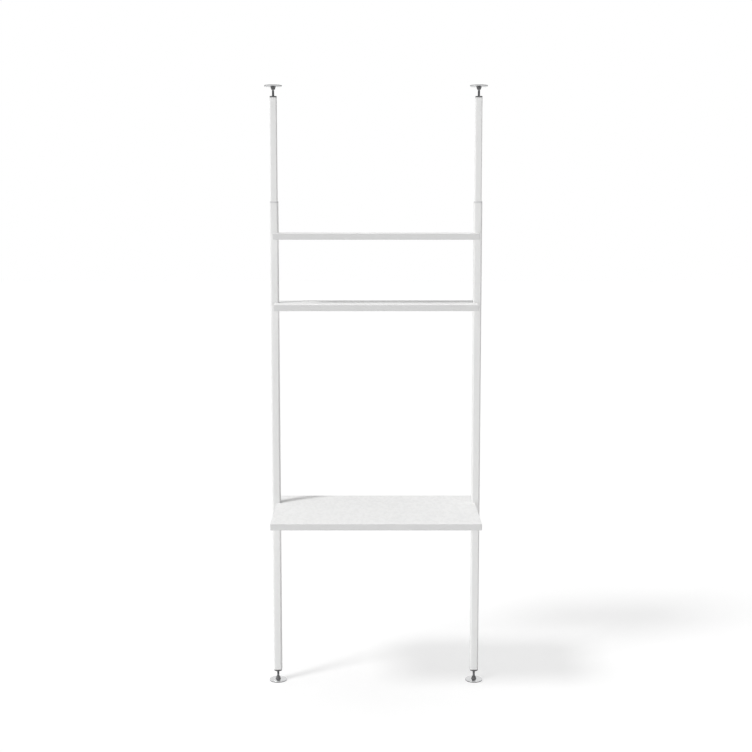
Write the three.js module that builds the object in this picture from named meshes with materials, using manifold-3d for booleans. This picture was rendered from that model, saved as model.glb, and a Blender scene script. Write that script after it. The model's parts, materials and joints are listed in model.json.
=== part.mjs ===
// Tension pole shelf unit: two telescopic poles, jacked between floor and ceiling on swivel feet,
// carry a deep desk board and two shallow shelves that slide in height.
// Millimetres, +X to the right, +Y to the back, +Z up.
// The origin is on the floor, midway between the two poles.

import * as THREE from "three";
import { mergeVertices } from "three/addons/utils/BufferGeometryUtils.js";
import Module from "manifold-3d";

// Layout of the unit
const polePitch = 836;
const lowerPoleLength = 1975;
const upperPoleLength = 1700;
const upperPoleShown = 417.6;
const deskHeight = 775;
const topShelfDrop = 121;
const shelfSpacing = 287;

// Boards
const boardThickness = 25;
const boardToPoleCentre = 2.5;
const boardCornerRadius = 3;
const boardRearDepth = 126;
const deskFrontDepth = 384;
const shelfFrontDepth = 137;
const notchGap = 0.8;

// Play between pieces
const seatGap = 0.2;
const telescopeGap = 0.4;
const swivelGap = 0.3;
const threadGap = 0.3;
const boreGap = 0.4;
const grooveGap = 0.5;
const weldDistance = 0.001;
const cutOverrun = 1;

// Poles
const lowerPoleWidth = 34;
const lowerPoleWall = 2.6;
const lowerPoleCorner = 7;
const slotWidth = 8;
const upperPoleWall = 1.8;
const upperPoleCorner = 5;
const upperPoleWidth = lowerPoleWidth - 2 * (lowerPoleWall + telescopeGap);

// Plastic pieces of the poles
const collarHeight = 8;
const collarChamfer = 1.6;
const collarTongueLength = 25;
const plugDepth = 30;
const plugFlangeThickness = 1.6;
const glideThickness = 6;
const glideSpigotDepth = 20;

// Swivel foot, the same at floor and ceiling
const padThickness = 2.2;
const padRadius = 36;
const discRadius = 36.5;
const discRimThickness = 2.4;
const discRise = 1;
const discEdgeRound = 0.8;
const hubFloor = 2;
const hubSpigotWall = 1.9;
const hubWall = 3.3;
const hubShoulder = 1.6;
const hubLip = 1.8;
const hubMouthRadius = 5.6;
const ballRadius = 5.5;
const cupWall = 1.6;
const cupRimShare = 0.62;

// Jack: a threaded stud and the nut that the pole stands on
const studRadius = 5;
const studNeckRadius = 3.2;
const studNeckLength = 8;
const studLength = 100;
const studChamfer = 1.2;
const ballToNut = 31;
const nutGripCount = 16;
const nutGripDepth = 0.8;
const floorNut = { radius: 16.7, thickness: 5 };
const ceilingNut = { radius: 14.4, thickness: 4 };

// Slot nuts and the screws that clamp the brackets to the poles
const slotNutWidth = 12;
const slotNutThickness = 3;
const slotNutPlay = 0.3;
const clampScrewRadius = 3;
const clampHeadRadius = 5.25;
const clampHeadHeight = 3.3;
const clampTipReach = 0.3;
const clampSocketRadius = 2;
const clampSocketDepth = 1.8;

// Screw that locks the telescope, in the rear wall of the lower pole
const lockScrewTopInset = 16;

// Shelf brackets: a flange let into the underside of the board and a tab against the pole
const shelfBracketSteel = 2.5;
const shelfBracketReach = 60;
const shelfBracketLength = 160;
const shelfTabWidth = 30;
const shelfTabHeight = 20.5;
const shelfNutHeight = 16;
const pocketSkin = 4;
const pocketGap = 0.5;

// Desk brackets: a flange under the board and a deep web beside the pole
const deskBracketSteel = 3;
const deskBracketReach = 60;
const deskBracketFront = 250;
const deskBracketRear = 100;
const deskWebDepth = 75;
const deskWebTipDepth = 12;
const deskNutHeight = 62;

// Holes for the countersunk screws that hold the boards on the brackets
const woodScrewRadius = 2;
const woodScrewHeadRadius = 3.9;
const woodScrewHeadDepth = 2;
const woodScrewLength = 17;
const woodScrewRowShares = [0.34, 0.76];
const shelfScrewShares = [-0.38, 0.38];
const deskScrewShares = [0.08, 0.42, 0.9];

// Fineness of the round shapes
const discSides = 28;
const hubSides = 16;
const rodSides = 12;
const screwSides = 8;
const cornerSteps = 4;
const ballSteps = 6;

// Places that follow from the sizes above
const lowerPoleHalf = lowerPoleWidth / 2;
const upperPoleHalf = upperPoleWidth / 2;
const slotHalf = slotWidth / 2;
const discUnderside = padThickness + seatGap;
const hubSeat = discUnderside + discRimThickness + discRise + seatGap;
const cupInnerRadius = ballRadius + swivelGap;
const cupOuterRadius = cupInnerRadius + cupWall;
const socketRadius = cupOuterRadius + swivelGap;
const ballHeight = discUnderside + hubFloor + socketRadius;
const nutUnderside = ballHeight + ballToNut;
const lowerPoleBottom = poleEndHeight(floorNut);
const lowerPoleTop = lowerPoleBottom + lowerPoleLength;
const lockScrewHeight = lowerPoleTop - lockScrewTopInset;
const collarBottom = lowerPoleTop + seatGap;
const upperPoleTop = collarBottom + collarHeight + upperPoleShown;
const upperPoleBottom = upperPoleTop - upperPoleLength;
const ceilingHeight = upperPoleTop + poleEndHeight(ceilingNut);
const topShelfHeight = lowerPoleTop - topShelfDrop;
const middleShelfHeight = topShelfHeight - shelfSpacing;
const slotNutBack = lowerPoleWall + slotNutPlay + slotNutThickness;
const grooveHalf = slotNutWidth / 2 + grooveGap;
const grooveFloor = slotNutBack + clampTipReach + grooveGap;
const grooveDepth = grooveFloor - lowerPoleWall - telescopeGap;
const boardWidth = polePitch - 2 * boardToPoleCentre;
const notchFloor = polePitch / 2 - lowerPoleHalf - notchGap;
const tabOuterFace = seatGap + shelfBracketSteel;

const wasm = await Module();
wasm.setup();

const materials = {
  pole: new THREE.MeshStandardMaterial({ color: 0xe8e8e6, roughness: 0.45, metalness: 0.0 }),
  board: new THREE.MeshStandardMaterial({ color: 0xf0f0ee, roughness: 0.5, metalness: 0.0 }),
  bracket: new THREE.MeshStandardMaterial({ color: 0xe4e4e2, roughness: 0.5, metalness: 0.0 }),
  collar: new THREE.MeshStandardMaterial({ color: 0xd9dad9, roughness: 0.55, metalness: 0.0 }),
  disc: new THREE.MeshStandardMaterial({ color: 0xb8b9ba, roughness: 0.2, metalness: 1.0 }),
  darkPlastic: new THREE.MeshStandardMaterial({ color: 0x4a4b4d, roughness: 0.6, metalness: 0.0 }),
  steel: new THREE.MeshStandardMaterial({ color: 0x8b8d90, roughness: 0.35, metalness: 1.0 }),
  nylon: new THREE.MeshStandardMaterial({ color: 0xe9e7df, roughness: 0.5, metalness: 0.0 }),
  rubber: new THREE.MeshStandardMaterial({ color: 0x2f3031, roughness: 0.85, metalness: 0.0 }),
};

// Height of a pole's end above the surface that its foot stands on.
function poleEndHeight(nut) {
  return nutUnderside + nut.thickness + seatGap + plugFlangeThickness + seatGap;
}

// Solids and booleans

function solidFrom(geometry) {
  const plain = geometry.clone();
  plain.deleteAttribute("normal");
  plain.deleteAttribute("uv");
  const merged = mergeVertices(plain, weldDistance);
  return new wasm.Manifold(
    new wasm.Mesh({
      numProp: 3,
      vertProperties: merged.attributes.position.array,
      triVerts: new Uint32Array(merged.index.array),
    }),
  );
}

function geometryFrom(solid) {
  const mesh = solid.getMesh();
  const geometry = new THREE.BufferGeometry();
  geometry.setAttribute("position", new THREE.BufferAttribute(mesh.vertProperties, 3));
  geometry.setIndex(new THREE.BufferAttribute(mesh.triVerts, 1));
  geometry.computeVertexNormals();
  return geometry;
}

function cut(body, tools) {
  return geometryFrom(tools.reduce((left, tool) => left.subtract(solidFrom(tool)), solidFrom(body)));
}

function join(first, ...others) {
  return geometryFrom(others.reduce((whole, other) => whole.add(solidFrom(other)), solidFrom(first)));
}

// Basic shapes

function block(low, high) {
  const size = high.map((value, axis) => value - low[axis]);
  const middle = high.map((value, axis) => (value + low[axis]) / 2);
  return new THREE.BoxGeometry(...size).translate(...middle);
}

// A body turned round the Z axis from [radius, height] pairs.
function turned(profile, sides) {
  const points = profile.map(([radius, height]) => new THREE.Vector2(radius, height));
  return new THREE.LatheGeometry(points, sides).rotateX(Math.PI / 2);
}

function extruded(outline, height, bottom) {
  const shape = new THREE.Shape(outline);
  return new THREE.ExtrudeGeometry(shape, { depth: height, bevelEnabled: false }).translate(0, 0, bottom);
}

function rod(radius, length, sides) {
  return new THREE.CylinderGeometry(radius, radius, length, sides).rotateX(Math.PI / 2);
}

function arc(centre, radius, from, to, steps) {
  return Array.from({ length: steps + 1 }, (unused, step) => {
    const angle = from + ((to - from) * step) / steps;
    return [centre[0] + radius * Math.cos(angle), centre[1] + radius * Math.sin(angle)];
  });
}

// Points round a rounded square, from one lip of an opening in its +X side to the other.
function openSquare(half, cornerRadius, openingHalf) {
  const radius = Math.min(cornerRadius, half - openingHalf);
  const reach = half - radius;
  const points = [new THREE.Vector2(half, openingHalf)];
  for (let corner = 0; corner < 4; corner += 1) {
    const middle = (corner + 0.5) * (Math.PI / 2);
    const centreX = reach * Math.sign(Math.cos(middle));
    const centreY = reach * Math.sign(Math.sin(middle));
    for (let step = 0; step <= cornerSteps; step += 1) {
      const angle = (corner + step / cornerSteps) * (Math.PI / 2);
      points.push(
        new THREE.Vector2(centreX + radius * Math.cos(angle), centreY + radius * Math.sin(angle)),
      );
    }
  }
  points.push(new THREE.Vector2(half, -openingHalf));
  return points;
}

// A rounded square with a groove in its +X side, or with a tongue where the depth is negative.
function groovedSquare(half, cornerRadius, openingHalf, depth) {
  return [
    ...openSquare(half, cornerRadius, openingHalf),
    new THREE.Vector2(half - depth, -openingHalf),
    new THREE.Vector2(half - depth, openingHalf),
  ];
}

// A square ring with rounded corners, swept round by a closed profile of [half width, corner, height].
function squareRing(profile) {
  const rings = profile.map(([half, corner, height]) =>
    openSquare(half, corner, 0).slice(1, -1).map((point) => [point.x, point.y, height]),
  );
  const sides = rings[0].length;
  const faces = [];
  for (let ring = 0; ring < rings.length; ring += 1) {
    const above = (ring + 1) % rings.length;
    for (let side = 0; side < sides; side += 1) {
      const next = (side + 1) % sides;
      const corners = [
        [ring, side],
        [ring, next],
        [above, next],
        [above, side],
      ].map(([row, column]) => row * sides + column);
      faces.push(corners[0], corners[1], corners[2], corners[0], corners[2], corners[3]);
    }
  }
  const geometry = new THREE.BufferGeometry();
  geometry.setAttribute("position", new THREE.Float32BufferAttribute(rings.flat(2), 3));
  geometry.setIndex(faces);
  geometry.computeVertexNormals();
  return geometry;
}

// Swivel foot and jack, standing on the surface at height zero

function footPad() {
  return turned([[0, 0], [padRadius, 0], [padRadius, padThickness], [0, padThickness]], discSides);
}

function footDisc() {
  const inner = socketRadius + hubSpigotWall + seatGap;
  const rimTop = discUnderside + discRimThickness;
  const hubBase = socketRadius + hubWall;
  return turned(
    [
      [inner, discUnderside],
      [discRadius, discUnderside],
      [discRadius, rimTop - discEdgeRound],
      [discRadius - discEdgeRound, rimTop],
      [hubBase, rimTop + discRise],
      [inner, rimTop + discRise],
      [inner, discUnderside],
    ],
    discSides,
  );
}

function footHub() {
  const mouthAngle = Math.acos(hubMouthRadius / socketRadius);
  const hubTop = ballHeight + socketRadius * Math.sin(mouthAngle);
  const spigot = socketRadius + hubSpigotWall;
  const base = socketRadius + hubWall;
  return turned(
    [
      [0, discUnderside],
      [spigot, discUnderside],
      [spigot, hubSeat],
      [base, hubSeat],
      [base, hubSeat + hubShoulder],
      [hubMouthRadius + hubLip, hubTop],
      ...arc([0, ballHeight], socketRadius, mouthAngle, -Math.PI / 2, ballSteps),
    ],
    hubSides,
  );
}

function ballCup() {
  const centre = [0, ballHeight];
  const rim = cupInnerRadius * cupRimShare;
  const outerRim = Math.asin(rim / cupOuterRadius);
  const innerRim = Math.asin(rim / cupInnerRadius);
  return turned(
    [
      ...arc(centre, cupOuterRadius, -Math.PI / 2, outerRim, ballSteps),
      ...arc(centre, cupInnerRadius, innerRim, -Math.PI / 2, ballSteps),
    ],
    hubSides,
  );
}

function ballStud() {
  const neckAngle = Math.acos(studNeckRadius / ballRadius);
  const threadBottom = ballHeight + studNeckLength;
  const top = ballHeight + studLength;
  return turned(
    [
      ...arc([0, ballHeight], ballRadius, -Math.PI / 2, neckAngle, ballSteps),
      [studNeckRadius, threadBottom],
      [studRadius - studChamfer, threadBottom],
      [studRadius, threadBottom + studChamfer],
      [studRadius, top - studChamfer],
      [studRadius - studChamfer, top],
      [0, top],
    ],
    rodSides,
  );
}

function jackNut(nut) {
  const outline = [];
  for (let point = 0; point < 2 * nutGripCount; point += 1) {
    const angle = (point * Math.PI) / nutGripCount;
    const radius = nut.radius - (point % 2 ? nutGripDepth : 0);
    outline.push(new THREE.Vector2(radius * Math.cos(angle), radius * Math.sin(angle)));
  }
  const body = extruded(outline, nut.thickness, nutUnderside);
  const bore = rod(studRadius + threadGap, nut.thickness + 2 * cutOverrun, rodSides);
  return cut(body, [bore.translate(0, 0, nutUnderside + nut.thickness / 2)]);
}

// End plug: a flange on the pole's end and a body inside it, bored for the stud.
function endPlug(nut, flangeOutline, bodyOutline) {
  const flangeBottom = nutUnderside + nut.thickness + seatGap;
  const flange = extruded(flangeOutline, plugFlangeThickness, flangeBottom);
  const body = extruded(bodyOutline, plugDepth, flangeBottom + plugFlangeThickness / 2);
  const length = plugDepth + plugFlangeThickness + 2 * cutOverrun;
  const bore = rod(studRadius + boreGap, length, rodSides);
  return cut(join(flange, body), [bore.translate(0, 0, flangeBottom - cutOverrun + length / 2)]);
}

// Pole pieces, with the pole's axis on Z and the slot facing +X

// Outline of what fits inside the upper pole, smaller all round by the gap.
function upperCavity(gap) {
  const half = upperPoleHalf - upperPoleWall - gap;
  return groovedSquare(
    half,
    upperPoleCorner - upperPoleWall,
    grooveHalf + upperPoleWall + gap,
    grooveDepth,
  );
}

function lowerPlug() {
  const inside = lowerPoleHalf - lowerPoleWall - seatGap;
  const flange = groovedSquare(lowerPoleHalf, lowerPoleCorner, slotHalf, 0);
  const body = groovedSquare(
    inside,
    lowerPoleCorner - lowerPoleWall,
    slotHalf - seatGap,
    -lowerPoleWall,
  );
  return endPlug(floorNut, flange, body);
}

function upperPlug() {
  const flange = groovedSquare(upperPoleHalf, upperPoleCorner, grooveHalf, 0);
  return endPlug(ceilingNut, flange, upperCavity(seatGap));
}

function lowerPole() {
  const outer = openSquare(lowerPoleHalf, lowerPoleCorner, slotHalf);
  const inner = openSquare(
    lowerPoleHalf - lowerPoleWall,
    lowerPoleCorner - lowerPoleWall,
    slotHalf,
  );
  const tube = extruded([...outer, ...inner.reverse()], lowerPoleLength, lowerPoleBottom);
  const hole = rod(clampScrewRadius + threadGap, lowerPoleWall + 2 * cutOverrun, rodSides)
    .rotateX(Math.PI / 2)
    .translate(0, lowerPoleHalf - lowerPoleWall / 2, lockScrewHeight);
  return cut(tube, [hole]);
}

function collar() {
  const bore = upperPoleHalf + seatGap;
  const top = collarBottom + collarHeight;
  const boreCorner = upperPoleCorner + seatGap;
  const ring = squareRing([
    [lowerPoleHalf, lowerPoleCorner, collarBottom],
    [lowerPoleHalf, lowerPoleCorner, top - collarChamfer],
    [lowerPoleHalf - collarChamfer, lowerPoleCorner - collarChamfer, top],
    [bore, boreCorner, top],
    [bore, boreCorner, collarBottom],
  ]);
  const tongue = block(
    [lowerPoleHalf - lowerPoleWall, seatGap - slotHalf, collarBottom - collarTongueLength],
    [lowerPoleHalf - seatGap, slotHalf - seatGap, collarBottom + collarHeight / 2],
  );
  return join(ring, tongue);
}

function upperPole() {
  const shape = new THREE.Shape(
    groovedSquare(upperPoleHalf, upperPoleCorner, grooveHalf, grooveDepth),
  );
  shape.holes.push(new THREE.Path(upperCavity(0)));
  const settings = { depth: upperPoleLength, bevelEnabled: false };
  return new THREE.ExtrudeGeometry(shape, settings).translate(0, 0, upperPoleBottom);
}

function upperPoleGlide() {
  const bottom = upperPoleBottom - seatGap - glideThickness;
  const skirt = groovedSquare(
    upperPoleHalf + seatGap,
    upperPoleCorner,
    grooveHalf,
    grooveDepth + seatGap,
  );
  const inset = glideThickness / 2;
  const flange = extruded(skirt, glideThickness, bottom);
  const spigot = extruded(upperCavity(seatGap), inset + glideSpigotDepth, bottom + inset);
  return join(flange, spigot);
}

// A socket screw along +Z: its head starts at height zero and its shank points down.
function socketScrew(shankLength) {
  return turned(
    [
      [0, -shankLength],
      [clampScrewRadius, -shankLength],
      [clampScrewRadius, 0],
      [clampHeadRadius, 0],
      [clampHeadRadius, clampHeadHeight / 2],
      [clampHeadRadius - clampHeadHeight / 2, clampHeadHeight],
      [clampSocketRadius, clampHeadHeight],
      [clampSocketRadius, clampHeadHeight - clampSocketDepth],
      [0, clampHeadHeight - clampSocketDepth],
    ],
    rodSides,
  );
}

function lockScrew() {
  const seat = lowerPoleHalf + seatGap;
  const shank = seat - upperPoleHalf - seatGap;
  return socketScrew(shank).rotateX(-Math.PI / 2).translate(0, seat, lockScrewHeight);
}

// Fixings of a board, with the pole's axis on Z and the board towards +X

// Height of the clamp screw's axis, for a desk bracket whose top is at the given height.
function deskClampHeight(bracketTop) {
  return bracketTop - (deskBracketSteel + deskWebDepth) / 2;
}

function shelfClampHeight(underside) {
  return underside + (shelfBracketSteel + shelfTabHeight) / 2;
}

// Hole for the clamp screw, through everything that it passes.
function clampHole(height) {
  const length = slotNutBack + deskBracketSteel + shelfBracketSteel + 2 * cutOverrun;
  return rod(clampScrewRadius + threadGap, length, rodSides)
    .rotateY(Math.PI / 2)
    .translate(lowerPoleHalf - slotNutBack - cutOverrun + length / 2, 0, height);
}

function slotNut(nutHeight, screwHeight) {
  const back = lowerPoleHalf - slotNutBack;
  const top = screwHeight + nutHeight / 2;
  const bottom = screwHeight - nutHeight / 2;
  const neckHalf = slotHalf - slotNutPlay;
  const base = block(
    [back, -slotNutWidth / 2, bottom],
    [back + slotNutThickness, slotNutWidth / 2, top],
  );
  const neck = block([back, -neckHalf, bottom], [lowerPoleHalf - slotNutPlay, neckHalf, top]);
  return cut(join(base, neck), [clampHole(screwHeight)]);
}

function clampScrew(steel, height) {
  const headFace = lowerPoleHalf + seatGap + steel + seatGap;
  const tip = lowerPoleHalf - slotNutBack - clampTipReach;
  return socketScrew(headFace - tip).rotateY(Math.PI / 2).translate(headFace, 0, height);
}

function woodScrewPlaces(reach, ends, shares) {
  return shares.flatMap((alongShare) =>
    woodScrewRowShares.map((acrossShare) => [
      lowerPoleHalf + reach * acrossShare,
      ends[0] + (ends[1] - ends[0]) * alongShare,
    ]),
  );
}

function shelfScrewPlaces() {
  return woodScrewPlaces(shelfBracketReach, [0, shelfBracketLength], shelfScrewShares);
}

function deskScrewPlaces() {
  return woodScrewPlaces(deskBracketReach, [-deskBracketFront, deskBracketRear], deskScrewShares);
}

// The room for a countersunk screw pointing up, whose head is flush at height zero.
function woodScrewHole() {
  const head = woodScrewHeadRadius + threadGap;
  const shank = woodScrewRadius + threadGap;
  return turned(
    [
      [0, -cutOverrun],
      [head, -cutOverrun],
      [head, 0],
      [shank, woodScrewHeadDepth],
      [shank, woodScrewLength],
      [0, woodScrewLength],
    ],
    screwSides,
  );
}

function woodScrewHoles(places, headHeight) {
  return places.map(([x, y]) => woodScrewHole().translate(x, y, headHeight));
}

function shelfBracket(underside) {
  const face = lowerPoleHalf + seatGap;
  const flange = block(
    [face, -shelfBracketLength / 2, underside],
    [lowerPoleHalf + shelfBracketReach, shelfBracketLength / 2, underside + shelfBracketSteel],
  );
  const tab = block(
    [face, -shelfTabWidth / 2, underside],
    [face + shelfBracketSteel, shelfTabWidth / 2, underside + shelfTabHeight],
  );
  return cut(join(flange, tab), [
    clampHole(shelfClampHeight(underside)),
    ...woodScrewHoles(shelfScrewPlaces(), underside),
  ]);
}

function deskBracket(top) {
  const face = lowerPoleHalf + seatGap;
  const flange = block(
    [face, -deskBracketFront, top - deskBracketSteel],
    [lowerPoleHalf + deskBracketReach, deskBracketRear, top],
  );
  const side = [
    [-deskBracketFront, top],
    [-deskBracketFront, top - deskWebTipDepth],
    [-lowerPoleWidth, top - deskWebDepth],
    [lowerPoleWidth, top - deskWebDepth],
    [deskBracketRear, top - deskWebTipDepth],
    [deskBracketRear, top],
  ].map(([y, z]) => new THREE.Vector2(y, z));
  const sideways = new THREE.Matrix4().makeBasis(
    new THREE.Vector3(0, 1, 0),
    new THREE.Vector3(0, 0, 1),
    new THREE.Vector3(1, 0, 0),
  );
  const web = extruded(side, deskBracketSteel, 0).applyMatrix4(sideways).translate(face, 0, 0);
  return cut(join(flange, web), [
    clampHole(deskClampHeight(top)),
    ...woodScrewHoles(deskScrewPlaces(), top - deskBracketSteel),
  ]);
}

// Boards

// The right-hand edge of a board from front to back, notched round half of the pole.
function boardSide(front) {
  const edge = boardWidth / 2;
  const corner = boardCornerRadius;
  const notchHalf = lowerPoleHalf + notchGap;
  const notchCorner = lowerPoleCorner + notchGap;
  const notchCentre = notchFloor + notchCorner;
  const quarter = Math.PI / 2;
  return [
    ...arc([edge - corner, corner - front], corner, -quarter, 0, cornerSteps),
    [edge, -notchHalf],
    ...arc([notchCentre, notchCorner - notchHalf], notchCorner, -quarter, -Math.PI, cornerSteps),
    ...arc([notchCentre, notchHalf - notchCorner], notchCorner, Math.PI, quarter, cornerSteps),
    [edge, notchHalf],
    ...arc([edge - corner, boardRearDepth - corner], corner, 0, quarter, cornerSteps),
  ];
}

function boardBlank(front, top) {
  const right = boardSide(front);
  const left = right.map(([x, y]) => [-x, y]).reverse();
  const outline = [...right, ...left].map(([x, y]) => new THREE.Vector2(x, y));
  return extruded(outline, boardThickness, top - boardThickness);
}

// Copies of tools made for the left-hand pole, placed at both ends of the unit.
function atBothPoles(makeTools) {
  return [-1, 1].flatMap((end) => makeTools(end));
}

function boardScrewHoles(places, headHeight) {
  return atBothPoles((end) =>
    places.map(([x, y]) =>
      woodScrewHole().translate(end * (polePitch / 2 - x), y, headHeight),
    ),
  );
}

// The room in a shelf's underside for the bracket's flange, its tab and the clamp screw's head.
function bracketRecesses(underside) {
  const half = polePitch / 2;
  const below = underside - cutOverrun;
  const headEnd = lowerPoleHalf + tabOuterFace + seatGap + clampHeadHeight + pocketGap;
  const flangeEnd = lowerPoleHalf + shelfBracketReach + pocketGap;
  const flangeHalf = shelfBracketLength / 2 + pocketGap;
  const tabHalf = shelfTabWidth / 2 + pocketGap;
  const flangeTop = underside + shelfBracketSteel + seatGap;
  const tabTop = underside + boardThickness - pocketSkin;
  return atBothPoles((end) =>
    [
      [flangeEnd, flangeHalf, flangeTop],
      [headEnd, tabHalf, tabTop],
    ].map(([reach, halfLength, top]) => {
      const ends = [end * (half - reach), end * (half - lowerPoleHalf)].sort((a, b) => a - b);
      return block([ends[0], -halfLength, below], [ends[1], halfLength, top]);
    }),
  );
}

function deskBoard(top) {
  const blank = boardBlank(deskFrontDepth, top);
  const headHeight = top - boardThickness - seatGap - deskBracketSteel;
  return cut(blank, boardScrewHoles(deskScrewPlaces(), headHeight));
}

function shelfBoard(top) {
  const underside = top - boardThickness;
  const blank = boardBlank(shelfFrontDepth, top);
  return cut(blank, [
    ...bracketRecesses(underside),
    ...boardScrewHoles(shelfScrewPlaces(), underside),
  ]);
}

// Assembly

const unit = new THREE.Group();

function addMesh(parent, name, geometry, material) {
  const mesh = new THREE.Mesh(geometry, material);
  mesh.name = name;
  parent.add(mesh);
  return mesh;
}

// A group whose +X points from a pole towards the middle of the unit.
function poleGroup(end) {
  const group = new THREE.Group();
  group.position.x = (end * polePitch) / 2;
  group.scale.x = -end;
  unit.add(group);
  return group;
}

function addFoot(parent, prefix, nut) {
  addMesh(parent, prefix + "_foot_pad", footPad(), materials.rubber);
  addMesh(parent, prefix + "_foot_disc", footDisc(), materials.disc);
  addMesh(parent, prefix + "_foot_hub", footHub(), materials.darkPlastic);
  addMesh(parent, prefix + "_ball_cup", ballCup(), materials.nylon);
  addMesh(parent, prefix + "_ball_stud", ballStud(), materials.steel);
  addMesh(parent, prefix + "_jack_nut", jackNut(nut), materials.darkPlastic);
}

function addPole(side, end) {
  const group = poleGroup(end);
  addMesh(group, side + "_lower_pole", lowerPole(), materials.pole);
  addMesh(group, side + "_lower_end_plug", lowerPlug(), materials.darkPlastic);
  addMesh(group, side + "_pole_collar", collar(), materials.collar);
  addMesh(group, side + "_lock_screw", lockScrew(), materials.steel);
  addMesh(group, side + "_upper_pole", upperPole(), materials.pole);
  addMesh(group, side + "_upper_pole_glide", upperPoleGlide(), materials.nylon);
  addFoot(group, side + "_floor", floorNut);
  const hung = new THREE.Group();
  hung.position.z = ceilingHeight;
  hung.scale.z = -1;
  group.add(hung);
  addMesh(hung, side + "_upper_end_plug", upperPlug(), materials.darkPlastic);
  addFoot(hung, side + "_ceiling", ceilingNut);
}

function addFixings(name, fixing) {
  [["left", -1], ["right", 1]].forEach(([side, end]) => {
    const group = poleGroup(end);
    const prefix = name + "_" + side;
    const nut = slotNut(fixing.nutHeight, fixing.clampHeight);
    const screw = clampScrew(fixing.steel, fixing.clampHeight);
    addMesh(group, prefix + "_bracket", fixing.bracket, materials.bracket);
    addMesh(group, prefix + "_slot_nut", nut, materials.steel);
    addMesh(group, prefix + "_clamp_screw", screw, materials.steel);
  });
}

function addDesk(name, top) {
  const bracketTop = top - boardThickness - seatGap;
  addMesh(unit, name + "_board", deskBoard(top), materials.board);
  addFixings(name, {
    bracket: deskBracket(bracketTop),
    steel: deskBracketSteel,
    clampHeight: deskClampHeight(bracketTop),
    nutHeight: deskNutHeight,
  });
}

function addShelf(name, top) {
  const underside = top - boardThickness;
  addMesh(unit, name + "_board", shelfBoard(top), materials.board);
  addFixings(name, {
    bracket: shelfBracket(underside),
    steel: shelfBracketSteel,
    clampHeight: shelfClampHeight(underside),
    nutHeight: shelfNutHeight,
  });
}

addPole("left", -1);
addPole("right", 1);
addDesk("desk", deskHeight);
addShelf("middle_shelf", middleShelfHeight);
addShelf("top_shelf", topShelfHeight);

export default unit;
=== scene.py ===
"""Looks of a tension pole shelf unit.

Two telescopic poles, jacked between floor and ceiling on swivel feet, carry a desk and two shelves.
Metres, +X to the right, +Y to the back, +Z up. The origin is on the floor midway between the poles.
"""

import json
import math

import bmesh
import bpy
from mathutils import Matrix, Vector


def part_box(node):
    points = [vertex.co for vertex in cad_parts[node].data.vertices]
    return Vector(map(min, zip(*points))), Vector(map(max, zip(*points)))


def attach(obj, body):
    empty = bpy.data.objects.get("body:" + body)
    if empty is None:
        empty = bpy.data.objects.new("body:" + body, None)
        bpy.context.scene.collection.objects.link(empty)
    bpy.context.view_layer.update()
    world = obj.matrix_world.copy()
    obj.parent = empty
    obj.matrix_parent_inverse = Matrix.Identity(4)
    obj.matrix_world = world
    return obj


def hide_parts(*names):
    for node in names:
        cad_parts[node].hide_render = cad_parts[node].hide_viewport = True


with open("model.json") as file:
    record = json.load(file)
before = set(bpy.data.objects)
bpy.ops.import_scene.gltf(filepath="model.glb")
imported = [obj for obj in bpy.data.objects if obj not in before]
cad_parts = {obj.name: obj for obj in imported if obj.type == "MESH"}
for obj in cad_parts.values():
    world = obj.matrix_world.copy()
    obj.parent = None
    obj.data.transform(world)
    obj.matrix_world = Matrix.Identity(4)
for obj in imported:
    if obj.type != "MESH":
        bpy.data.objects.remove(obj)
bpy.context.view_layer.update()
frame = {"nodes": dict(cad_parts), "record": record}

MM = 0.001
SIDES = {"left": -1, "right": 1}
BOARDS = ("desk", "middle_shelf", "top_shelf")
BODIES = frame["record"]["behaviour"]["bodies"]
BODY_OF = {node: body for body, nodes in BODIES.items() for node in nodes}
SLOT_OF = {part["node"]: part["material_slot"] for part in frame["record"]["subparts"]}
RIDERS = {}

# Fineness of the meshes
ARC_STEPS = 5
CORNER_STEPS = 8
BALL_STEPS = 14
BEND_STEPS = 6
BAND_STEPS = 3
THREAD_STEPS = 6
HUB_RIB_STEPS = 6
HUB_RIB_ROWS = 4
NUT_GRIP_STEPS = 10
WIDE_COUNT = 96
SMALL_COUNT = 48
WOOD_SCREW_COUNT = 32
ROD_COUNT = 24
MERGE_DISTANCE = 0.002 * MM
SMOOTH_ANGLE = math.radians(35)

# Eases of edges, from fine to broad
FINE_EASE = 0.2 * MM
LIGHT_EASE = 0.3 * MM
EASE = 0.4 * MM
BROAD_EASE = 0.5 * MM

# Poles
SLOT_WIDTH = 8 * MM
LOWER_WALL = 2.6 * MM
LOWER_CORNER = 7 * MM
UPPER_WALL = 1.8 * MM
UPPER_CORNER = 5 * MM
GROOVE_WIDTH = 13 * MM
GROOVE_DEPTH = 3.7 * MM
POLE_CENTRE = 418 * MM
CUT_EDGE = 0.3 * MM
SLOT_LIP = 0.5 * MM
LOCK_HOLE_RADIUS = 3.3 * MM
COLLAR_PLAY = 0.2 * MM
COLLAR_CHAMFER = 1.6 * MM
COLLAR_HEIGHT = 8 * MM
PLUG_FLANGE = 1.6 * MM
PLUG_BORE_RADIUS = 5.4 * MM
PLUG_PLAY = 0.2 * MM

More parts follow.
